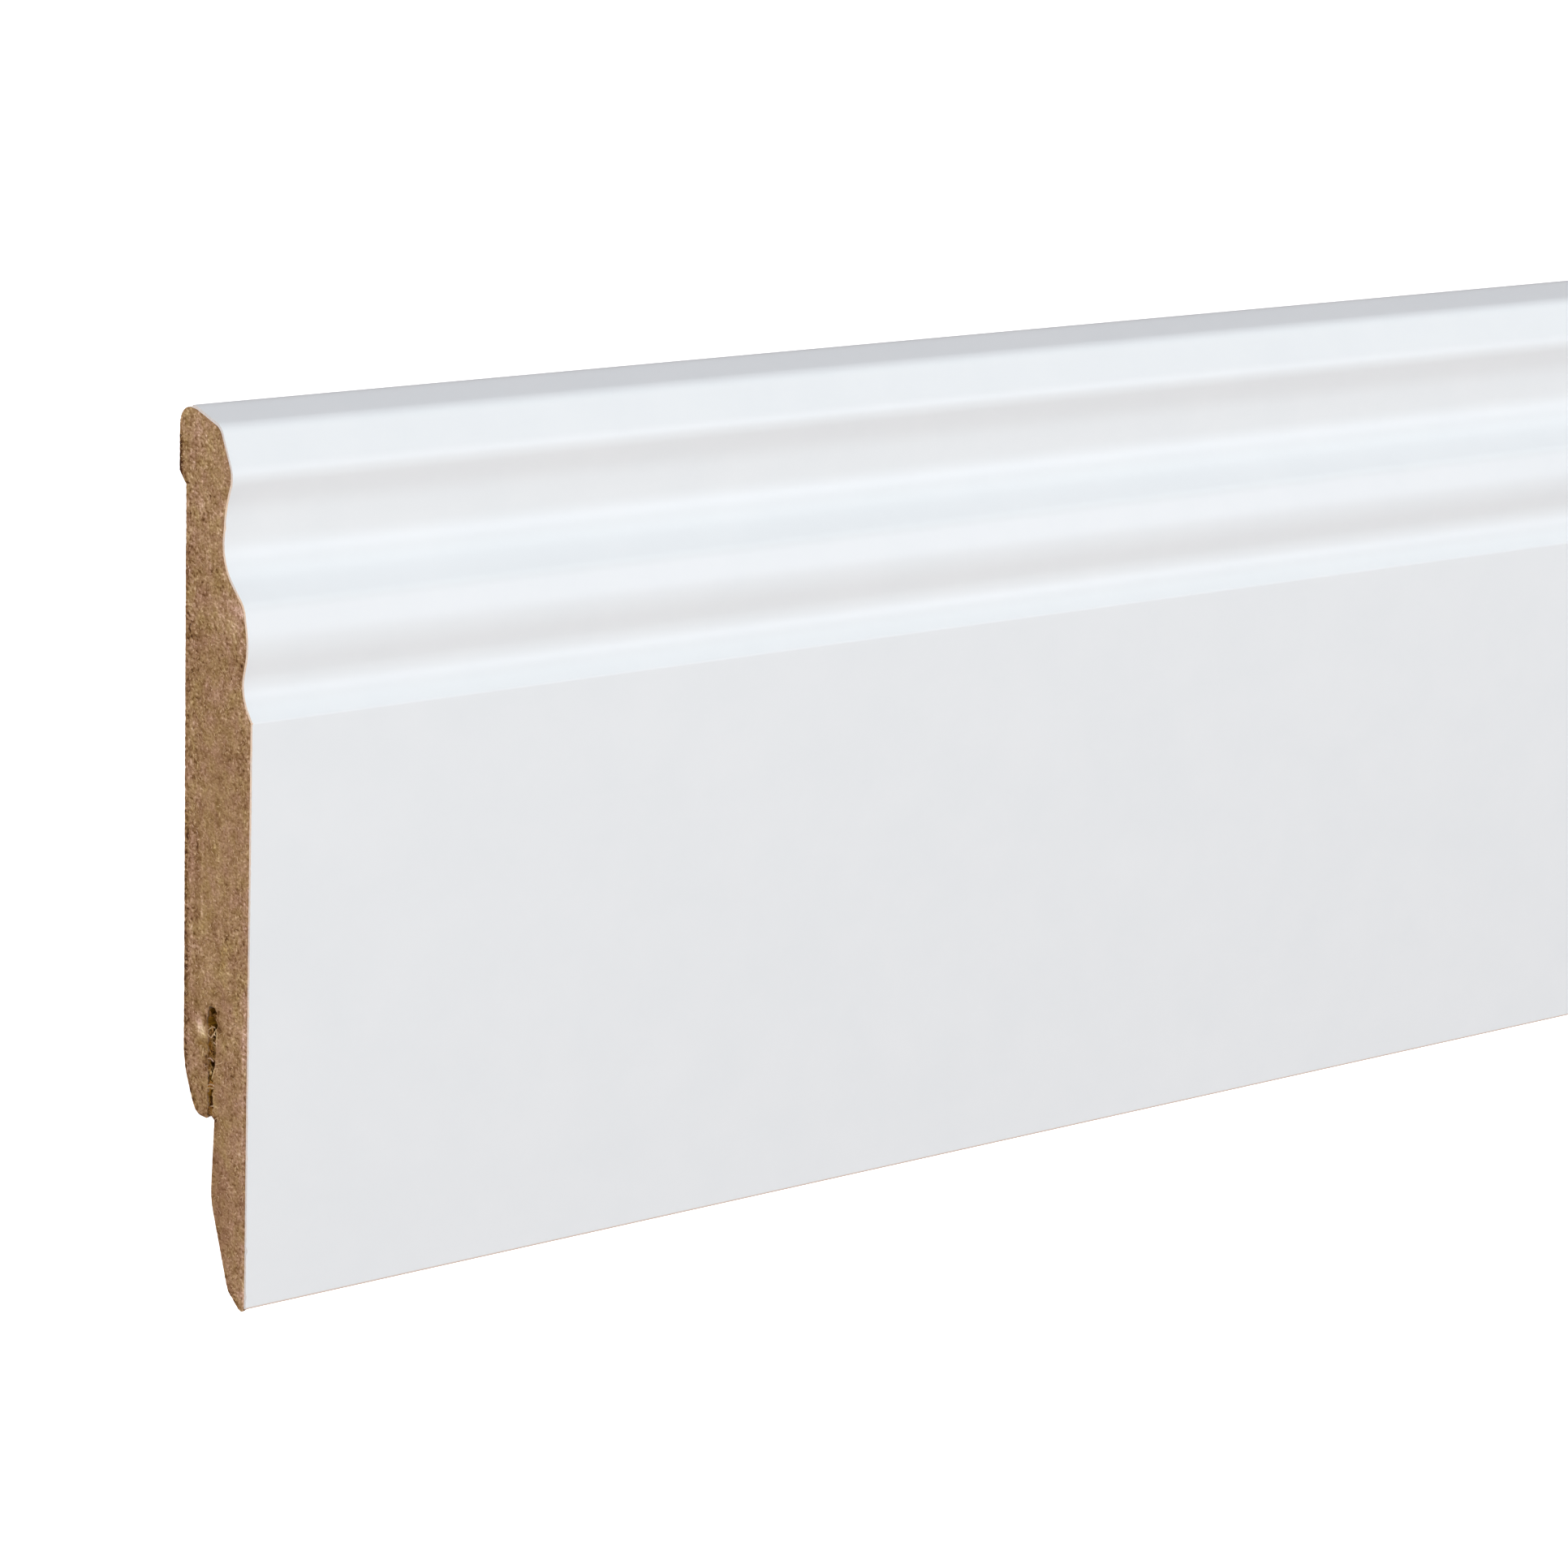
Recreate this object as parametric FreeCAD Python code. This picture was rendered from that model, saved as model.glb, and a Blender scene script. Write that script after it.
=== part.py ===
import FreeCAD, Part
import math
import os

from FreeCAD import Vector

# A length of moulded skirting board, lying on its back.
# +X runs along the board, +Y towards its moulded top edge, +Z out of its white front face.
# The origin is under the middle of the board, on the plane of the wall that its back leans on.
# The section is drawn with two measures: depth in front of the wall plane, and level above the floor edge.

# Overall sizes, in millimetres
length = 2400.0
height = 118.0
thickness = 18.0
foil_thickness = 0.4

# Top, rounded at the back, level at its crown, where the foil begins, and falling towards the front
top_back_round = 2.6
foil_start = 0.2                 # beyond the end of the back rounding
crown_run = 1.3                  # from the end of the back rounding to where the top starts to fall
crown_round = 5.0

# Moulded front, each corner given by its drop below the top line,
# its set back behind the front of the core, and its radius
top_front = (2.0, 7.9, 2.2)
band_bend = (6.7, 5.5, 3.7)
ridge = (8.05, 5.1, 2.8)
cove_top = (12.0, 6.55, 11.0)
cove_foot = (19.35, 7.4, 6.8)
torus_top = (24.25, 2.05, 2.85)
torus_foot = (29.35, 0.95, 8.2)
quirk = (35.35, 2.65, 5.5)
face_edge = (38.75, 0.0, 0.3)

# Back: a strip that touches the wall, and below it a relieved face
strip_height = 9.0               # from the top line down to the strip's foot
back_relief = 2.25               # at the lip
back_taper = 0.6                 # how much less the back is relieved at the strip's foot
step_rise = 1.6                  # the slope from the strip's foot down to the relieved face
step_round = 0.3

# Lip and kerf that a wall clip's tongue goes into
lip_thickness = 5.85
lip_foot = 24.15                 # above the floor edge
lip_bevel_depth = 3.05
lip_bevel_height = 6.1
lip_shoulder_round = 12.0
lip_foot_round = 2.0
kerf_width = 2.0
kerf_depth = 15.0
kerf_round = 0.3

# Lower leg, which swells a little and then tapers to a narrow foot
knee_level = 13.2
knee_swell = 0.72
knee_round = 8.0
heel_run = 2.75                  # bevel from the taper down to the foot
heel_rise = 1.9
heel_round = 1.4
foot_width = 0.6
toe_run = 0.6                    # from the foot forward to the front of the core
toe_rise = 0.4                   # and up to where the foil ends

# Places that follow from the sizes
core_front = thickness - foil_thickness
core_top = height - foil_thickness
foil_back = top_back_round + foil_start
kerf_back = back_relief + lip_thickness
kerf_front = kerf_back + kerf_width


def at(depth, level):
    """A point of the section, in the plane of the board's near end."""
    return Vector(-length / 2, level - height / 2, depth)


def rounded(corners):
    """Straight runs from corner to corner, with a tangent arc of each corner's own radius."""
    edges = []
    start = corners[0][0]
    for (before, _), (corner, radius), (after, _) in zip(corners, corners[1:], corners[2:]):
        back = (before - corner).normalize()
        ahead = (after - corner).normalize()
        half = back.getAngle(ahead) / 2
        first = corner + back * (radius / math.tan(half))
        edges.append(Part.makeLine(start, first))
        if radius > 0:
            last = corner + ahead * (radius / math.tan(half))
            inside = (back + ahead).normalize() * (radius / math.sin(half) - radius)
            edges.append(Part.Arc(first, corner + inside, last).toShape())
            first = last
        start = first
    edges.append(Part.makeLine(start, corners[-1][0]))
    return edges


def moulded_front():
    """The core's face under the foil, from the crown of the top down to the toe."""
    corners = [(at(foil_back, core_top), 0), (at(top_back_round + crown_run, core_top), crown_round)]
    upper = (top_front, band_bend, ridge, cove_top, cove_foot)
    lower = (torus_top, torus_foot, quirk, face_edge)
    for drop, set_back, radius in upper + lower:
        corners.append((at(core_front - set_back, height - drop), radius))
    corners.append((at(core_front, toe_rise), 0))
    return Part.Wire(rounded(corners))


def bare_back():
    """The core's uncovered outline, from the toe round the leg, kerf, lip and strip to the top."""
    toe = core_front - toe_run
    heel = toe - foot_width
    strip_foot = height - strip_height
    return rounded([
        (at(core_front, toe_rise), 0),
        (at(toe, 0), 0),
        (at(heel, 0), heel_round),
        (at(heel - heel_run, heel_rise), heel_round),
        (at(kerf_front - knee_swell, knee_level), knee_round),
        (at(kerf_front, lip_foot), 0),
        (at(kerf_front, lip_foot + kerf_depth), kerf_round),
        (at(kerf_back, lip_foot + kerf_depth), kerf_round),
        (at(kerf_back, lip_foot), kerf_round),
        (at(back_relief + lip_bevel_depth, lip_foot), lip_foot_round),
        (at(back_relief, lip_foot + lip_bevel_height), lip_shoulder_round),
        (at(back_relief - back_taper, strip_foot - step_rise), step_round),
        (at(0, strip_foot), step_round),
        (at(0, core_top), top_back_round),
        (at(foil_back, core_top), 0),
    ])


def run_out(wire):
    """The section inside a closed wire, drawn out to the board's length."""
    return Part.Face(wire).extrude(Vector(length, 0, 0))


def mdf_core(front):
    return run_out(Part.Wire(front.Edges + bare_back()))


def white_foil(front):
    """The covering, as a strip of even thickness along the moulded front."""
    outside = front.makeOffset2D(foil_thickness, 0, False, True)
    inner = front.OrderedVertexes
    outer = outside.OrderedVertexes
    ends = [
        Part.makeLine(inner[0].Point, outer[0].Point),
        Part.makeLine(inner[-1].Point, outer[-1].Point),
    ]
    return run_out(Part.Wire(Part.sortEdges(front.Edges + outside.Edges + ends)[0]))


os.makedirs("parts", exist_ok=True)
front = moulded_front()
mdf_core(front).exportStep("parts/mdf_core.step")
white_foil(front).exportStep("parts/white_foil.step")
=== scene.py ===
import math
import random

import bmesh
import bpy
from mathutils import Matrix, Vector, kdtree, noise
from mathutils.geometry import delaunay_2d_cdt


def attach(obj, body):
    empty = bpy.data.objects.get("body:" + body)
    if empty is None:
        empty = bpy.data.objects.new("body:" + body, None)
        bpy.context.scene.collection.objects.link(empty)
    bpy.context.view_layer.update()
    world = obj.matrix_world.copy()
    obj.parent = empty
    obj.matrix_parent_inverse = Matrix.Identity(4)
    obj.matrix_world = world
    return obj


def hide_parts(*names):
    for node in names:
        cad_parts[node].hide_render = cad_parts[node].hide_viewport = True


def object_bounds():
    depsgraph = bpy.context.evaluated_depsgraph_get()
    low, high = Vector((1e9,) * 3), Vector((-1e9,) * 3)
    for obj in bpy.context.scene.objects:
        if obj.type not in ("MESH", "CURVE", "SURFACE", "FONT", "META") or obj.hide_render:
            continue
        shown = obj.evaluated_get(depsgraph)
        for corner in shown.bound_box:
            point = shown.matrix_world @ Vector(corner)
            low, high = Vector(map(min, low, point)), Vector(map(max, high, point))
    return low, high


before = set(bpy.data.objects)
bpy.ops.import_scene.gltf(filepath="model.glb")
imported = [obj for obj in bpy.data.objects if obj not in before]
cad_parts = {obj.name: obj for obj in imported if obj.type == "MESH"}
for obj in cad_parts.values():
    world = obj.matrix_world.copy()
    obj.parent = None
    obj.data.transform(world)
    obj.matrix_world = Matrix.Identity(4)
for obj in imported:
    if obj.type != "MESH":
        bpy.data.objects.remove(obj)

# A length of moulded skirting board on its back: brown fibreboard with a white foil on its moulded face.
# +X runs along the board, +Y towards its moulded top edge, +Z out of its face. The sawn end at -X is the near one.
cad_low, cad_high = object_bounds()

MM = 0.001
near_end = cad_low.x / MM
far_end = cad_high.x / MM
height = (cad_high.y - cad_low.y) / MM
thickness = (cad_high.z - cad_low.z) / MM

# Section of the board in millimetres, as in the CAD source.
# A corner of the moulding is its drop below the top line, its set back behind the core's front, and its radius
foil_thickness = 0.4
top_back_round = 2.6
foil_start = 0.2
crown_run = 1.3
crown_round = 5.0
top_front = (2.0, 7.9, 2.2)
band_bend = (6.7, 5.5, 3.7)
ridge = (8.05, 5.1, 2.8)
cove_top = (12.0, 6.55, 11.0)
cove_foot = (19.35, 7.4, 6.8)
torus_top = (24.25, 2.05, 2.85)
torus_foot = (29.35, 0.95, 8.2)
quirk = (35.35, 2.65, 5.5)
face_edge = (38.75, 0.0, 0.3)
strip_height = 9.0
back_relief = 2.25
back_taper = 0.6
step_rise = 1.6
step_round = 0.3
lip_thickness = 5.85
lip_foot = 24.15
lip_bevel_depth = 3.05
lip_bevel_height = 6.1
lip_shoulder_round = 12.0
lip_foot_round = 2.0
kerf_width = 2.0
kerf_depth = 15.0
kerf_round = 0.3
knee_level = 13.2
knee_swell = 0.72
knee_round = 8.0
heel_run = 2.75
heel_rise = 1.9
heel_round = 1.4
foot_width = 0.6
toe_run = 0.6
toe_rise = 0.4

core_front = thickness - foil_thickness
core_top = height - foil_thickness
foil_back = top_back_round + foil_start
kerf_back = back_relief + lip_thickness
kerf_front = kerf_back + kerf_width

# Fineness of the meshes, in millimetres
outline_step = 0.3
arc_step = math.radians(4)
near_stations = (0.0, 0.15, 0.35, 0.7, 1.2, 2.0, 3.2, 5.0, 8.0, 14.0, 40.0)

# Places on the near sawn end, in millimetres: first a depth from the wall plane and a level above the floor edge.
# A mark's half sizes follow, then how much lighter it is, and how much pinker, or less so and more ochre
broad_marks = (
    (8.0, 110.0, 9.0, 12.0, 0.08, 0.1),
    (13.5, 96.0, 3.5, 9.0, 0.08, 0.2),
    (12.5, 92.0, 2.2, 3.0, 0.12, 0.3),
    (4.5, 87.5, 3.0, 4.0, -0.1, 0.0),
    (11.8, 14.0, 1.8, 9.0, -0.09, 0.3),
    (3.6, 54.0, 0.6, 12.0, 0.08, 0.9),
    (5.0, 55.0, 0.6, 11.0, -0.14, 0.4),
    (6.3, 54.0, 0.25, 10.0, 0.18, 0.2),
    (17.3, 46.0, 0.8, 26.0, 0.12, 0.8),
    (14.0, 9.0, 5.0, 17.0, 0.0, 0.5),
    (8.0, 48.0, 4.0, 12.0, 0.0, -0.4),
    (0.1, 109.8, 0.7, 3.3, -0.7, 0.8),
    (16.6, 33.0, 0.25, 9.0, 0.2, 0.5),
    (17.4, 33.0, 0.25, 12.0, -0.16, 0.5),
)
small_marks = (
    (3.3, 115.2, 0.4, 0.5, 0.2, 0.0),
    (3.4, 107.3, 0.4, 0.3, 0.25, 0.0),
    (9.8, 108.4, 0.8, 0.2, 0.2, 0.0),
    (6.9, 107.2, 0.6, 0.2, 0.2, 0.0),
    (11.0, 96.8, 0.35, 0.35, 0.45, 0.0),
    (12.0, 92.0, 0.3, 2.3, 0.12, 0.0),
    (13.6, 90.5, 0.3, 2.6, 0.1, 0.0),
    (2.9, 89.3, 0.35, 0.14, -0.9, 0.0),
    (13.6, 89.1, 0.35, 0.3, 0.25, 0.0),
    (12.1, 88.1, 0.4, 0.3, 0.3, 0.0),
    (15.2, 86.3, 0.3, 0.3, -0.25, 0.0),
    (3.4, 83.4, 0.25, 0.2, -0.4, 0.0),
    (16.5, 79.6, 0.4, 1.0, 0.4, -0.3),
    (6.0, 63.6, 0.5, 0.8, 0.0, 1.0),
    (10.3, 55.1, 0.5, 0.4, 0.3, 0.0),
    (10.4, 49.7, 0.5, 0.4, 0.3, 0.0),
    (14.5, 52.7, 0.4, 0.25, 0.2, 0.0),
    (12.8, 44.9, 0.6, 0.5, 0.14, 0.0),
    (14.2, 40.5, 0.9, 0.8, 0.14, 0.0),
    (9.4, 40.3, 1.4, 0.35, 0.18, 0.4),
    (6.9, 38.2, 0.6, 1.2, 0.14, -0.2),
    (5.7, 36.7, 1.0, 0.7, 0.2, 1.6),
    (6.4, 35.6, 1.2, 0.9, 0.46, 0.2),
    (7.2, 34.9, 0.6, 0.5, 0.16, -0.5),
    (6.7, 33.7, 1.1, 0.5, 0.02, -1.4),
    (6.9, 32.5, 0.25, 0.6, 0.36, 0.0),
    (17.4, 3.0, 0.3, 1.7, 0.6, -0.7),
)
# Torn fibres in the kerf: level and half height, the depths they lie between, how far in, tone and number. The deeper
# tangles get darker tones, painted shade on top of their sinking
tangles = (
    (38.2, 0.25, 8.1, 10.1, 0.9, 0.2, 16),
    (35.6, 0.9, 7.9, 8.8, 0.5, 0.42, 30),
    (35.6, 0.9, 8.8, 10.2, 1.2, 0.26, 20),
    (33.8, 1.3, 8.0, 8.9, 0.5, 0.46, 45),
    (33.8, 1.3, 8.9, 10.0, 1.1, 0.3, 40),
    (33.9, 1.2, 9.9, 10.3, 0.15, 0.5, 20),
    (32.4, 0.25, 8.2, 9.9, 0.4, 0.5, 26),
    (30.6, 1.2, 9.5, 10.2, 0.4, 0.48, 30),
    (30.6, 0.8, 8.0, 8.6, 0.5, 0.45, 30),
    (28.7, 0.4, 8.0, 10.1, 0.25, 0.48, 60),
    (26.6, 0.9, 9.4, 10.1, 0.4, 0.42, 30),
    (25.8, 0.6, 8.2, 9.6, 0.9, 0.16, 20),
    (24.9, 0.3, 8.1, 10.0, 0.2, 0.36, 44),
)
# Long loose hairs: how much pinker, or more ochre, and a few places that each curls through
long_hairs = (
    (-0.6, (8.1, 36.0), (8.6, 36.4), (9.3, 36.8), (10.0, 36.8)),
    (-0.6, (8.1, 35.6), (8.8, 35.1), (9.6, 35.9), (10.1, 36.6)),
    (-0.6, (9.0, 35.2), (9.3, 35.7), (9.7, 36.0), (10.0, 35.7)),
    (-0.6, (10.1, 36.7), (10.4, 36.1), (10.3, 35.4), (10.4, 34.3)),
    (-0.6, (9.6, 34.8), (9.9, 34.6), (10.2, 34.7), (10.5, 34.5)),
    (-0.6, (6.7, 31.9), (6.9, 32.4), (7.0, 32.9), (7.1, 33.4)),
    (1.5, (8.2, 32.2), (8.7, 32.4), (9.2, 32.3), (9.6, 32.1)),
    (-0.6, (10.1, 31.9), (10.9, 32.2), (11.4, 32.4), (11.9, 32.8)),
    (-0.6, (9.2, 29.6), (9.5, 30.3), (9.9, 31.1), (10.2, 31.6)),
    (-0.6, (10.2, 30.8), (10.6, 31.1), (10.6, 31.4), (10.3, 31.5)),
    (-0.6, (10.6, 30.5), (11.0, 30.4), (11.3, 30.6), (11.6, 30.9)),
    (0.8, (8.1, 28.5), (8.8, 28.8), (9.4, 28.9), (9.9, 28.8)),
    (-0.6, (7.9, 28.0), (8.6, 28.3), (9.3, 28.4), (9.9, 28.5)),
    (-0.6, (9.7, 26.3), (9.9, 26.0), (10.2, 26.1), (10.3, 26.4)),
    (0.5, (8.9, 25.8), (9.4, 26.0), (9.7, 26.0), (10.1, 25.9)),
)


# Section

def at(depth, level):
    """A point of the section: how far up the board from its middle, and how far out of the wall."""
    return Vector((level - height / 2, depth))


def outward(along):
    return Vector((along.y, -along.x))


def straight(start, end):
    """Points with their normals along a straight run, without its end."""
    along = end - start
    count = max(1, math.ceil(along.length / outline_step))
    normal = outward(along.normalized())
    return [(start.lerp(end, i / count), normal) for i in range(count)]


def bend(first, last, centre, radius, convex):
    """Points with their normals along an arc, without its end."""
    a = (first - centre).normalized()
    b = (last - centre).normalized()
    sweep = a.angle_signed(b)
    count = max(2, math.ceil(abs(sweep) / arc_step), math.ceil(abs(sweep) * radius / outline_step))
    made = []
    for i in range(count):
        spoke = Matrix.Rotation(-sweep * i / count, 2) @ a
        made.append((centre + spoke * radius, spoke if convex else -spoke))
    return made


def rounded(corners):
    """Straight runs from corner to corner with tangent arcs, as points with their outward normals."""
    made = []
    start = corners[0][0]
    for (before, _), (corner, radius), (after, _) in zip(corners, corners[1:], corners[2:]):
        back = (before - corner).normalized()
        ahead = (after - corner).normalized()
        half = back.angle(ahead) / 2
        first = corner + back * (radius / math.tan(half))
        made += straight(start, first)
        start = first
        if radius > 0:
            start = corner + ahead * (radius / math.tan(half))
            centre = corner + (back + ahead).normalized() * (radius / math.sin(half))
            convex = outward(-back).dot(ahead) < 0
            made += bend(first, start, centre, radius, convex)
    made += straight(start, corners[-1][0])
    return made


def moulded_front():
    """The core's face under the foil, from the crown of the top down to the toe."""
    corners = [(at(foil_back, core_top), 0), (at(top_back_round + crown_run, core_top), crown_round)]
    upper = (top_front, band_bend, ridge, cove_top, cove_foot)
    lower = (torus_top, torus_foot, quirk, face_edge)
    for drop, set_back, radius in upper + lower:
        corners.append((at(core_front - set_back, height - drop), radius))
    corners.append((at(core_front, toe_rise), 0))
    return rounded(corners)


def bare_back():
    """The core's uncovered outline, from the toe round the leg, kerf, lip and strip to the top."""
    toe = core_front - toe_run
    heel = toe - foot_width
    strip_foot = height - strip_height
    return rounded([
        (at(core_front, toe_rise), 0),
        (at(toe, 0), 0),
        (at(heel, 0), heel_round),
        (at(heel - heel_run, heel_rise), heel_round),
        (at(kerf_front - knee_swell, knee_level), knee_round),
        (at(kerf_front, lip_foot), 0),
        (at(kerf_front, lip_foot + kerf_depth), kerf_round),
        (at(kerf_back, lip_foot + kerf_depth), kerf_round),
        (at(kerf_back, lip_foot), kerf_round),
        (at(back_relief + lip_bevel_depth, lip_foot), lip_foot_round),
        (at(back_relief, lip_foot + lip_bevel_height), lip_shoulder_round),
        (at(back_relief - back_taper, strip_foot - step_rise), step_round),
        (at(0, strip_foot), step_round),
        (at(0, core_top), top_back_round),
        (at(foil_back, core_top), 0),
    ])


# Mesh helpers

def new_piece(name, bm, materials, stands_for=None, sharp=30):
    """A mesh object that rides on the board, with smooth faces that break at sharp edges."""
    bmesh.ops.recalc_face_normals(bm, faces=bm.faces)
    mesh = bpy.data.meshes.new(name)
    bm.to_mesh(mesh)
    bm.free()
    for material in materials:
        mesh.materials.append(material)
    mesh.shade_smooth()
    mesh.set_sharp_from_angle(angle=math.radians(sharp))
    piece = bpy.data.objects.new(name, mesh)
    bpy.context.collection.objects.link(piece)
    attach(piece, "root")
    if stands_for:
        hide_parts(stands_for)
    return piece


def stations():
    """Distances along the board, close together at its two sawn ends."""
    near = [near_end + d for d in near_stations]
    far = [far_end - d for d in reversed(near_stations)]
    return near + [0.0] + far


def tube(bm, rings):
    """Quads from ring to ring of vertices."""
    faces = []
    for ring, after in zip(rings, rings[1:]):
        for i in range(len(ring)):
            j = (i + 1) % len(ring)
            faces.append(bm.faces.new((ring[i], ring[j], after[j], after[i])))
    return faces


# Sawn end of the fibreboard

def coarse(y, z):
    """How open the board's fibres are, from the dense middle out to both faces, and more so near the top."""
    level = y + height / 2
    middle = (z - 10.0) / 4.5
    patch = noise.noise(Vector((y / 9.0, z / 5.0, 3.3)))
    upper = 0.3 / (1.0 + math.exp((81.0 - level) / 4.0))
    dense = 0.18 * math.exp(-((level - 65.0) / 9.0) ** 2)
    loose = 0.3 * math.exp(-((level - 48.5) / 5.0) ** 2)
    return min(1.0, max(0.32, 0.48 + upper - dense + loose + 0.2 * middle * middle + 0.45 * patch))


def marked(y, z):
    """How much lighter and how much pinker the near end is at the places that stand out."""
    lighter = 0.0
    pinker = 0.0
    for depth, level, across, up, light, pink in broad_marks + small_marks:
        reach = ((z - depth) / across) ** 2 + ((y + height / 2 - level) / up) ** 2
        if reach < 4:
            lighter += light * math.exp(-reach)
            pinker += pink * math.exp(-reach)
    return lighter, pinker


def ridges(y, z):
    """Slanting ridges left by the saw: short ones in the back of the board, longer ones behind the cove."""
    along = 0.95 * z - 0.31 * y
    across = 0.95 * y + 0.31 * z
    fade = math.exp(-((z - 3.2) / 1.6) ** 2)
    short = fade * noise.noise(Vector((across / 0.3, along / 1.2, 4.0)))
    along = 0.79 * z - 0.61 * y
    across = 0.79 * y + 0.61 * z
    fade = math.exp(-((y + height / 2 - 90.5) / 4.0) ** 2)
    return short + 1.3 * fade * noise.noise(Vector((across / 0.3, along / 2.6, 14.0)))


def relief(y, z, seed):
    """Depth of the sawn surface below the end plane, in millimetres, how light it is there, and how pink."""
    p = Vector((y, z, seed))
    turned = Matrix.Rotation(2.2 * noise.noise(p / 2.4), 2) @ Vector((y, z))
    fibre = noise.noise(Vector((turned.x / 1.0, turned.y / 0.36, seed))) + 0.8 * ridges(y, z)
    clump = noise.noise(p / 1.5)
    speck = noise.noise(Vector((y / 0.34, z / 0.6, seed + 7.0)))
    slow = noise.noise(Vector((y / 6.0, z / 3.0, seed + 2.0)))
    rough = coarse(y, z)
    # Pits are sunk and darkened; their dark tone is partly painted shade.
    pit = max(0.0, noise.noise(p / 0.7 + Vector((0.0, 9.0, 0.0))) - 0.35)
    depth = 0.06 + rough * (0.08 * fibre + 0.06 * speck + 0.03 * clump + 0.2 * pit)
    tone = 0.49 + rough * (0.4 * fibre + 0.55 * speck - 0.9 * pit) + 0.18 * clump + 0.09 * slow
    pink = 0.0
    if seed < 10:
        lighter, pink = marked(y, z)
        tone += lighter
    return max(0.0, min(0.3, depth)), max(0.0, min(1.0, tone)), pink


def paint(spot, layers, tone, pink=0.0):
    spot[layers[0]] = tone
    spot[layers[1]] = pink


def hair(bm, layers, end, inwards, places, radius, tone, sink, pink=0.0, least=0.005):
    """A thin three-sided fibre through places on a sawn end, sunk below its plane by at least so much."""
    rings = []
    for i, (y, z) in enumerate(places):
        ahead = Vector(places[min(i + 1, len(places) - 1)]) - Vector(places[max(i - 1, 0)])
        side = Vector((-ahead.y, ahead.x)).normalized()
        thin = radius * (1.0 - 0.6 * abs(2 * i / (len(places) - 1) - 1.0))
        ring = []
        for across, down in ((0.0, -1.0), (1.0, 0.6), (-1.0, 0.6)):
            x = end + inwards * max(least, sink[i] + down * thin)
            spot = bm.verts.new((x * MM, (y + side.x * across * thin) * MM, (z + side.y * across * thin) * MM))
            paint(spot, layers, tone, pink)
            ring.append(spot)
        rings.append(ring)
    faces = tube(bm, rings)
    faces.append(bm.faces.new(rings[0][::-1]))
    faces.append(bm.faces.new(rings[-1]))
    return faces


def curled(y, z, reach, angle, turn, steps):
    """Places along a fibre of a given reach to each side of its middle, which turns as it goes."""
    y -= math.cos(angle + turn / 2) * reach
    z -= math.sin(angle + turn / 2) * reach
    places = []
    for i in range(steps):
        places.append((y, z))
        y += math.cos(angle + turn * i / steps) * reach * 2 / (steps - 1)
        z += math.sin(angle + turn * i / steps) * reach * 2 / (steps - 1)
    return places


def curls(bm, layers, end, inwards, seed, spots, edge, count):
    """Loose ends of fibres that curl out of the sawn surface, lighter than what lies between them."""
    draw = random.Random(seed)
    faces = []
    for _ in range(count):
        y, z = spots[draw.randrange(len(spots))]
        reach = draw.uniform(0.1, 0.32)
        if edge.find((y, z, 0))[2] < reach + 0.1 or draw.random() > coarse(y, z) + 0.2:
            continue
        places = curled(y, z, reach, draw.gauss(0.6, 1.2), draw.uniform(-2.2, 2.2), 3)
        sink = [max(0.02, relief(*place, seed)[0] - 0.04) for place in places]
        tone = draw.uniform(0.58, 0.9)
        faces += hair(bm, layers, end, inwards, places, draw.uniform(0.04, 0.08), tone, sink)
    return faces


def smoothed(places):
    """The same run of places with its corners cut."""
    made = [places[0]]
    for a, b in zip(places, places[1:]):
        made += [a.lerp(b, 0.25), a.lerp(b, 0.75)]
    return made + [places[-1]]


def kerf_strands(bm, layers, end, inwards, seed):
    """Torn fibres in the mouth of the kerf, in tangles that close it here and there, and a few long hairs."""
    draw = random.Random(seed)
    faces = []
    for level, half, back, front, low, tone, count in tangles:
        for _ in range(count):
            y = level + draw.uniform(-half, half) - height / 2
            z = draw.uniform(back, front)
            places = curled(y, z, draw.uniform(0.2, 0.6), draw.gauss(1.4, 0.7), draw.uniform(-1.8, 1.8), 5)
            sink = draw.uniform(0.1, low)
            shade = max(0.05, draw.gauss(tone, 0.17))
            # Darker strands are painted a deeper ochre: raw fibre colour with painted shade.
            ochre_and_shade = -3.0 if shade < 0.34 else -2.5
            radius = draw.uniform(0.05, 0.11)
            faces += hair(bm, layers, end, inwards, places, radius, shade, [sink] * 5, ochre_and_shade)
    for pink, *spots in long_hairs:
        places = smoothed(smoothed([at(*spot) for spot in spots]))
        faces += hair(bm, layers, end, inwards, places, 0.1, 0.84, [-0.02] * len(places), pink, -0.1)
    return faces


def painted_edge_shade(y, z, distance):
    """How much painted shade darkens the sawn surface beside the bare back's edge, most of all in its lower half."""
    level = y + height / 2
    in_or_over_kerf = kerf_back - 0.1 < z < kerf_front + 0.1 and level > lip_foot + 0.3
    if in_or_over_kerf or level > core_top - 2.0:
        return 0.0
    strength = 0.08 + 0.34 / (1.0 + math.exp((level - 63.0) / 2.0))
    if level < lip_foot:
        strength *= 0.35
    return strength * math.exp(-(distance / 0.8) ** 2)


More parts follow.
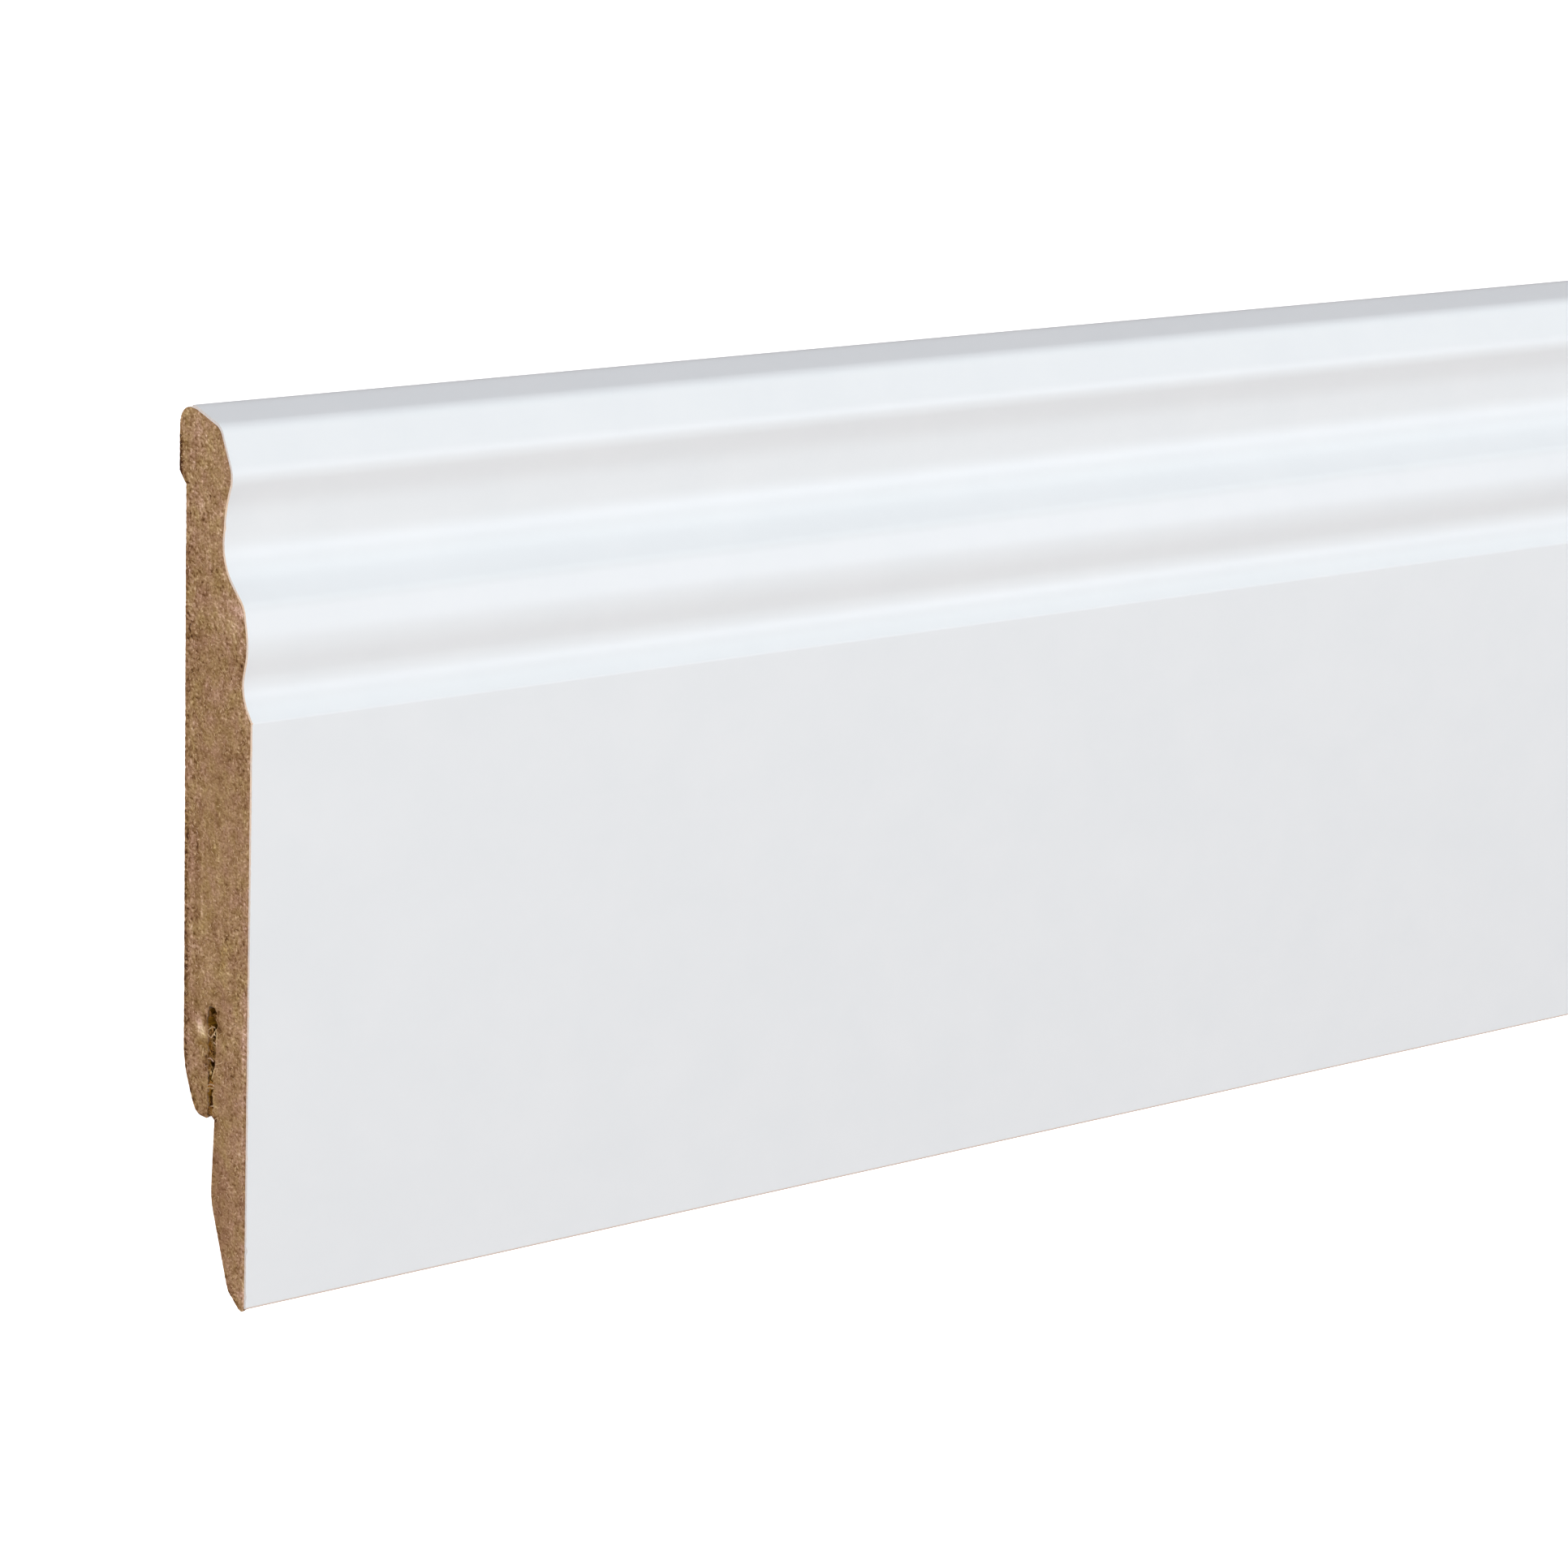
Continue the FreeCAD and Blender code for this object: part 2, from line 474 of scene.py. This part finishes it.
def sawn_end(bm, layers, ring, bare_from, end, inwards, seed, step, strands):
    """Fills a ring at the board's end with a fine surface that has the relief of sawn fibres."""
    draw = random.Random(seed)
    edge = kdtree.KDTree(len(ring))
    for i, v in enumerate(ring):
        edge.insert((v.co.y / MM, v.co.z / MM, 0), i)
    edge.balance()
    points = [Vector((v.co.y / MM, v.co.z / MM)) for v in ring]
    rise, run = 0.72 * step, 1.2 * step
    for row in range(int(height / rise) + 1):
        for column in range(int(thickness / run) + 1):
            y = -height / 2 + (row + 0.5 + draw.uniform(-0.3, 0.3)) * rise
            z = (column + 0.5 * (row % 2) + draw.uniform(-0.3, 0.3)) * run
            if edge.find((y, z, 0))[2] > 0.6 * step:
                points.append(Vector((y, z)))
    border = [(i, (i + 1) % len(ring)) for i in range(len(ring))]
    spots, _, triangles, origins, _, _ = delaunay_2d_cdt(points, border, [], 1, 1e-7)
    made = {}
    inside = []
    for i in {i for t in triangles for i in t}:
        first = origins[i][0] if origins[i] else len(ring)
        if first < len(ring):
            made[i] = ring[first]
        else:
            y, z = spots[i]
            depth, tone, pink = relief(y, z, seed)
            beside, index, gap = edge.find((y, z, 0))
            if index > bare_from:
                # Painted shade: a dark band along the sawn end's edges with the bare back.
                tone -= painted_edge_shade(beside.x, beside.y, gap)
            made[i] = bm.verts.new(((end + inwards * depth) * MM, y * MM, z * MM))
            paint(made[i], layers, max(0.0, min(1.0, tone + draw.gauss(0.0, 0.05))), pink)
            inside.append((y, z))
    faces = [bm.faces.new([made[i] for i in t]) for t in triangles]
    return faces + curls(bm, layers, end, inwards, seed, inside, edge, strands)


def in_kerf(y, z):
    """Whether a place of the outline is on one of the kerf's two walls."""
    rise = y + height / 2 - lip_foot
    middle = (kerf_back + kerf_front) / 2
    return abs(z - middle) < kerf_width / 2 + 0.05 and 0.3 < rise < kerf_depth - 0.1


def kerf_fuzz(level, distance, seed, on_front):
    """How far torn fibres stand into the kerf from each of its walls near the saw cut."""
    side = 7.0 if on_front else 0.0
    fuzz = noise.noise(Vector((level / 0.8, seed + side, distance / 0.9)))
    fuzz += 0.7 * noise.noise(Vector((level / 0.4, seed + side, distance / 0.4)))
    widening = 0.35 * math.exp(-((level - 37.4) / 0.8) ** 2)
    closing = 0.6 / (1.0 + math.exp((level - 31.5) / 0.4)) if on_front else 0.0
    return (0.05 + closing - widening + 0.36 * fuzz) * math.exp(-distance / 3.0)


def kerf_top(y, z, distance):
    """How far the closed end of the kerf is torn upwards near the saw cut."""
    aside = (z - (kerf_back + kerf_front) / 2) / (kerf_width / 2)
    if abs(aside) > 0.9 or y + height / 2 < lip_foot + kerf_depth - 0.1 or y > 0:
        return Vector((0.0, 0.0))
    return Vector((0.4 * math.sqrt(1.0 - aside * aside) * math.exp(-distance / 3.0), 0.0))


def ragged(y, z, distance, seed):
    """How far a bare edge stands out near the saw cut, as a burr low down, or is torn back where it is rough."""
    level = y + height / 2
    fade = math.exp(-distance / 0.6)
    burr = 0.05 + 0.2 / (1.0 + math.exp((level - 31.0) / 2.0))
    if z < 0.5 or level > 100:
        burr = 0.0
    notch = max(0.0, noise.noise(Vector((y / 0.6, 3.0, seed + distance / 1.5))) - 0.2)
    rough = 0.35 if 60 < level < 98 else 0.1 * (level < 100)
    return (burr - rough * notch) * fade


def fibreboard(milled, sawn):
    """The core, with its outline a little torn at the saw cuts, and a fibrous face at each end."""
    front = moulded_front()
    outline = front + bare_back()
    bm = bmesh.new()
    layers = (bm.verts.layers.float.new("tone"), bm.verts.layers.float.new("pink"))
    rings = []
    for x in stations():
        distance = min(x - near_end, far_end - x)
        seed = 5.0 if x < 0 else 60.0
        ring = []
        for i, (point, normal) in enumerate(outline):
            p = point
            depth, tone, pink = relief(p.x, p.y, seed)
            if distance > 0.01:
                # A low tone on the kerf walls near the ends, which the milled material turns into painted shade over
                # their raw fibre colour.
                tone = 0.5 - 0.5 * math.exp(-distance / 16.0) * in_kerf(*point)
                pink = 0.0
            if in_kerf(*point):
                level = point.x + height / 2
                p = point + normal * kerf_fuzz(level, distance, seed, point.y > kerf_back + 1.0)
            elif i > len(front):
                p = point + normal * ragged(*point, distance, seed) + kerf_top(*point, distance)
            inset = 0.0
            if distance < 0.01:
                inset = 0.5 * depth
            elif distance < 0.2:
                inset = 0.2
            along = x + inset if x < 0 else x - inset
            spot = bm.verts.new((along * MM, p.x * MM, p.y * MM))
            paint(spot, layers, tone, pink)
            ring.append(spot)
        rings.append(ring)
    tube(bm, rings)
    ends = sawn_end(bm, layers, rings[0], len(front), near_end, 1, 5.0, 0.28, 4200)
    ends += kerf_strands(bm, layers, near_end, 1, 5.0)
    ends += sawn_end(bm, layers, rings[-1], len(front), far_end, -1, 60.0, 0.5, 700)
    ends += kerf_strands(bm, layers, far_end, -1, 60.0)
    for face in ends:
        face.material_index = 1
    return new_piece("fibreboard_core", bm, [milled, sawn], "mdf_core", 50)


# Foil

def foil_edge(s, seed):
    """How far the foil is chipped back at the saw cut, at a distance s along it."""
    fine = 0.06 * abs(noise.noise(Vector((s / 0.5, seed, 0.0))))
    chip = max(0.0, noise.noise(Vector((s / 1.6, seed, 4.0))) - 0.35)
    return fine + 0.8 * chip


def peach(level, seed):
    """How much glue colours the foil's cut edge: a trace low down and at the top, a clear peach line between."""
    strength = 0.15 + 0.35 / (1.0 + math.exp((25.0 - level) / 3.0)) + 0.3 / (1.0 + math.exp((60.0 - level) / 2.0))
    strength += 0.5 * noise.noise(Vector((level / 2.5, seed, 8.0)))
    return max(0.0, min(1.0, strength)) * (0.3 + 0.7 / (1.0 + math.exp((level - 110.0) / 0.7)))


def foil(white, cut):
    """The covering: an even strip round the moulded front, slightly chipped at the saw cuts."""
    front = moulded_front()
    last = at(core_front, toe_rise)
    front.append((last, Vector((0.0, 1.0))))
    bm = bmesh.new()
    layer = bm.verts.layers.float.new("tone")
    worn = bm.verts.layers.float.new("worn")
    rings = []
    for x in stations():
        distance = min(x - near_end, far_end - x)
        seed = 2.0 if x < 0 else 31.0
        inner = []
        outer = []
        for i, (point, normal) in enumerate(front):
            s = i * outline_step
            chip = max(0.0, foil_edge(s, seed) - distance)
            side = 1 if x < 0 else -1
            raised = point + normal * foil_thickness * min(1.0, 0.25 + s / 0.8)
            outer.append(bm.verts.new(((x + side * chip) * MM, raised.x * MM, raised.y * MM)))
            inner.append(bm.verts.new(((x + side * chip * 0.2) * MM, point.x * MM, point.y * MM)))
            for spot in (outer[-1], inner[-1]):
                spot[layer] = peach(point.x + height / 2, seed)
                spot[worn] = 1.0 if i == len(front) - 1 else 0.0
        rings.append(outer + inner[::-1])
    sides = tube(bm, rings)
    count = len(front)
    for ring in (rings[0], rings[-1]):
        for i in range(count - 1):
            face = bm.faces.new((ring[i], ring[i + 1], ring[2 * count - 2 - i], ring[2 * count - 1 - i]))
            face.material_index = 1
    return new_piece("white_covering", bm, [white, cut], "white_foil", 40)


# Materials

def shader(name):
    """A new material, its node tree's maker of nodes and linker, and its principled shader."""
    material = bpy.data.materials.new(name)
    material.use_nodes = True
    return material, material.node_tree, material.node_tree.nodes["Principled BSDF"]


def add(tree, kind, inputs=None, **settings):
    """A node with its settings, its inputs given as values or as other nodes' outputs."""
    made = tree.nodes.new(kind)
    for key, value in settings.items():
        setattr(made, key, value)
    for key, value in (inputs or {}).items():
        if isinstance(value, bpy.types.NodeSocket):
            tree.links.new(value, made.inputs[key])
        else:
            made.inputs[key].default_value = value
    return made


def ramp(tree, factor, stops):
    made = add(tree, "ShaderNodeValToRGB", {"Fac": factor})
    elements = made.color_ramp.elements
    while len(elements) < len(stops):
        elements.new(0.5)
    for element, (place, colour) in zip(elements, stops):
        element.position = place
        element.color = (*colour, 1.0)
    return made.outputs["Color"]


def grain(tree, place, scale, stretch=(1, 1, 1), detail=2.0, roughness=0.6):
    """Noise with a period of about one over scale metres, stretched by axis."""
    mapped = add(tree, "ShaderNodeMapping", {"Vector": place, "Scale": stretch}).outputs["Vector"]
    made = add(tree, "ShaderNodeTexNoise",
               {"Vector": mapped, "Scale": scale, "Detail": detail, "Roughness": roughness})
    return made.outputs["Fac"]


def mix(tree, a, b, factor, blend="MIX"):
    made = add(tree, "ShaderNodeMix", data_type="RGBA", blend_type=blend)
    for socket, value in ((made.inputs[0], factor), (made.inputs[6], a), (made.inputs[7], b)):
        if isinstance(value, bpy.types.NodeSocket):
            tree.links.new(value, socket)
        elif isinstance(value, tuple):
            socket.default_value = (*value, 1.0)
        else:
            socket.default_value = value
    return made.outputs[2]


def bump(tree, height_socket, distance, strength=1.0):
    return add(tree, "ShaderNodeBump",
               {"Height": height_socket, "Distance": distance, "Strength": strength}).outputs["Normal"]


def sawn_fibreboard():
    """Sawn end: light fibres and dark pits over a mid brown, a little pinker or more ochre in patches. The pits' dark
    tone and the deepest ochre of the kerf's torn fibres are partly painted shade.
    """
    material, tree, principled = shader("sawn_fibreboard")
    place = add(tree, "ShaderNodeTexCoord").outputs["Object"]
    tone = add(tree, "ShaderNodeAttribute", attribute_name="tone").outputs["Fac"]
    colour = ramp(tree, tone, [(0.0, (0.06, 0.018, 0.003)), (0.2, (0.205, 0.102, 0.035)),
                               (0.45, (0.355, 0.207, 0.096)), (0.65, (0.46, 0.287, 0.149)),
                               (0.85, (0.66, 0.45, 0.27)), (1.0, (0.86, 0.65, 0.44))])
    fine = grain(tree, place, 3300, (0.2, 1.0, 0.6), 3.0)
    dark_fleck, light_fleck = (0.6, 0.52, 0.42), (1.4, 1.5, 1.64)
    colour = mix(tree, colour, ramp(tree, fine, [(0.3, dark_fleck), (0.7, light_fleck)]), 0.85, "MULTIPLY")
    pink = add(tree, "ShaderNodeAttribute", attribute_name="pink").outputs["Fac"]
    hue = add(tree, "ShaderNodeMath", {0: pink, 1: 0.15, 2: grain(tree, place, 420, (0.2, 0.8, 0.9), 3.0)},
              operation="MULTIPLY_ADD").outputs[0]
    ochre_patch, pink_patch = (0.96, 1.0, 0.81), (1.05, 1.0, 1.19)
    # The deepest tint mostly colours the kerf's torn fibres, where it is partly painted shade.
    tints = [(0.0, (1.06, 0.84, 0.34)), (0.3, ochre_patch), (0.7, pink_patch)]
    colour = mix(tree, colour, ramp(tree, hue, tints), 1.0, "MULTIPLY")
    tree.links.new(colour, principled.inputs["Base Color"])
    principled.inputs["Roughness"].default_value = 0.85
    principled.inputs["Specular IOR Level"].default_value = 0.2
    tree.links.new(bump(tree, fine, 0.00006), principled.inputs["Normal"])
    return material


def milled_fibreboard():
    """Moulder-cut fibreboard: denser and smoother, with faint cutter marks across the board. Near each end the kerf
    walls turn a dark, saturated brown: raw fibre colour with painted shade.
    """
    material, tree, principled = shader("milled_fibreboard")
    place = add(tree, "ShaderNodeTexCoord").outputs["Object"]
    fibre = grain(tree, place, 2400, (0.45, 1.0, 1.0), 4.0)
    colour = ramp(tree, fibre, [(0.28, (0.25, 0.15, 0.084)), (0.5, (0.335, 0.21, 0.122)),
                                (0.75, (0.43, 0.285, 0.175))])
    streak = grain(tree, place, 260, (0.02, 1.0, 1.0), 3.0)
    lengthwise = ramp(tree, streak, [(0.3, (0.86, 0.85, 0.84)), (0.7, (1.09, 1.09, 1.09))])
    colour = mix(tree, colour, lengthwise, 0.8, "MULTIPLY")
    chatter = grain(tree, place, 420, (1.0, 0.01, 0.01), 0.0)
    crosswise = ramp(tree, chatter, [(0.35, (0.94, 0.94, 0.94)), (0.65, (1.05, 1.05, 1.05))])
    colour = mix(tree, colour, crosswise, 0.8, "MULTIPLY")
    tone = add(tree, "ShaderNodeAttribute", attribute_name="tone").outputs["Fac"]
    # Painted shade: the kerf walls near the ends are mixed towards a dark, saturated ochre that is partly their raw
    # fibre colour.
    kerf_raw_and_shade = add(tree, "ShaderNodeMapRange", {"Value": tone, "From Min": 0.3, "From Max": 0.1}).outputs["Result"]
    layer = grain(tree, place, 2400, (0.12, 1.0, 1.0), 2.0)
    kerf = ramp(tree, layer, [(0.35, (0.18, 0.075, 0.004)), (0.65, (0.42, 0.205, 0.02))])
    colour = mix(tree, colour, kerf, kerf_raw_and_shade)
    tree.links.new(colour, principled.inputs["Base Color"])
    principled.inputs["Roughness"].default_value = 0.75
    principled.inputs["Specular IOR Level"].default_value = 0.15
    tree.links.new(bump(tree, fibre, 0.00005), principled.inputs["Normal"])
    return material


def white_foil_face():
    """Satin white foil with a barely visible paper texture and a faint mottle."""
    material, tree, principled = shader("white_foil_face")
    place = add(tree, "ShaderNodeTexCoord").outputs["Object"]
    mottle = grain(tree, place, 90, detail=3.0)
    colour = ramp(tree, mottle, [(0.3, (0.852, 0.86, 0.866)), (0.7, (0.872, 0.876, 0.88))])
    worn = add(tree, "ShaderNodeAttribute", attribute_name="worn").outputs["Fac"]
    colour = mix(tree, colour, (0.62, 0.42, 0.3), worn)
    tree.links.new(colour, principled.inputs["Base Color"])
    principled.inputs["Roughness"].default_value = 0.4
    principled.inputs["Specular IOR Level"].default_value = 0.4
    peel = grain(tree, place, 1600, detail=2.0)
    tree.links.new(bump(tree, peel, 0.000004), principled.inputs["Normal"])
    return material


def foil_cut_edge():
    """The foil's own thickness where it is sawn: cream paper with a trace of glue."""
    material, tree, principled = shader("foil_cut_edge")
    place = add(tree, "ShaderNodeTexCoord").outputs["Object"]
    fibre = grain(tree, place, 3000, detail=2.0)
    glue = add(tree, "ShaderNodeAttribute", attribute_name="tone").outputs["Fac"]
    colour = ramp(tree, glue, [(0.0, (0.80, 0.79, 0.78)), (0.5, (0.89, 0.79, 0.70)), (1.0, (1.0, 0.77, 0.56))])
    colour = mix(tree, colour, ramp(tree, fibre, [(0.3, (0.8, 0.76, 0.72)), (0.7, (1.0, 1.0, 1.0))]), 0.8, "MULTIPLY")
    tree.links.new(colour, principled.inputs["Base Color"])
    principled.inputs["Roughness"].default_value = 0.8
    tree.links.new(bump(tree, fibre, 0.00003), principled.inputs["Normal"])
    return material


# Studio

def floor():
    """A plain white floor, bright enough to read as paper white."""
    bm = bmesh.new()
    bmesh.ops.create_circle(bm, cap_ends=True, segments=96, radius=30.0)
    mesh = bpy.data.meshes.new("floor")
    bm.to_mesh(mesh)
    bm.free()
    material, tree, principled = shader("floor_white")
    principled.inputs["Base Color"].default_value = (0.9, 0.9, 0.9, 1.0)
    principled.inputs["Roughness"].default_value = 1.0
    principled.inputs["Specular IOR Level"].default_value = 0.0
    principled.inputs["Emission Color"].default_value = (1.0, 1.0, 1.0, 1.0)
    principled.inputs["Emission Strength"].default_value = 1.05
    mesh.materials.append(material)
    made = bpy.data.objects.new("floor", mesh)
    made.location.z = cad_low.z - 0.00005
    made.visible_diffuse = False
    made.visible_glossy = False
    bpy.context.collection.objects.link(made)


def aim(name, light, toward):
    """Adds a light that shines from a direction, and stays out of the camera's view."""
    made = bpy.data.objects.new(name, light)
    made.rotation_euler = toward.to_track_quat("Z", "Y").to_euler()
    made.visible_camera = False
    bpy.context.collection.objects.link(made)
    return made


def soft_sun(name, toward, degrees, colour):
    """Even light from a wide patch of the studio; its colour carries its strength."""
    light = bpy.data.lights.new(name, "SUN")
    light.energy = math.pi
    light.angle = math.radians(degrees)
    light.color = colour
    aim(name, light, Vector(toward))


def studio():
    """A long strip near the moulded edge, a broad low fill, a small sheen light and a fill on the sawn end."""
    strip = bpy.data.lights.new("edge_strip", "AREA")
    strip.shape = "RECTANGLE"
    strip.size = 5.0
    strip.size_y = 0.3
    strip.energy = 60.0
    strip.color = (0.139, 0.162, 0.167)
    toward = Vector((0.0, math.sin(math.radians(60)), math.cos(math.radians(60))))
    aim("edge_strip", strip, toward).location = Vector((-1.0, 0.0, 0.0)) + toward * 0.7
    soft_sun("low_fill", (0.0, -0.5, 0.866), 60, (0.287, 0.305, 0.285))
    soft_sun("sheen", (0.609, 0.165, 0.776), 14, (0.173, 0.186, 0.209))
    soft_sun("end_fill", (-1.0, -0.1, 0.1), 50, (0.6, 0.6, 0.6))
    world = bpy.data.worlds.new("studio")
    world.use_nodes = True
    world.node_tree.nodes["Background"].inputs["Color"].default_value = (0.270, 0.223, 0.231, 1.0)
    world.node_tree.nodes["Background"].inputs["Strength"].default_value = 1.0
    bpy.context.scene.world = world


def camera():
    """The photograph's viewpoint: from beyond the near end, above the face, with a little roll."""
    data = bpy.data.cameras.new("camera")
    data.sensor_width = 36.0
    data.lens = 112.92
    data.clip_start = 0.01
    data.clip_end = 100.0
    right = Vector((0.78326, 0.03810, 0.62053))
    up = Vector((0.12438, 0.96834, -0.21645))
    made = bpy.data.objects.new("camera", data)
    turn = Matrix((right, up, right.cross(up))).transposed()
    made.matrix_world = Matrix.Translation(Vector((-1528.35, 169.53, 532.03)) * MM) @ turn.to_4x4()
    bpy.context.collection.objects.link(made)
    bpy.context.scene.camera = made


fibreboard(milled_fibreboard(), sawn_fibreboard())
foil(white_foil_face(), foil_cut_edge())
floor()
studio()
camera()
bpy.context.scene.view_settings.view_transform = "Standard"
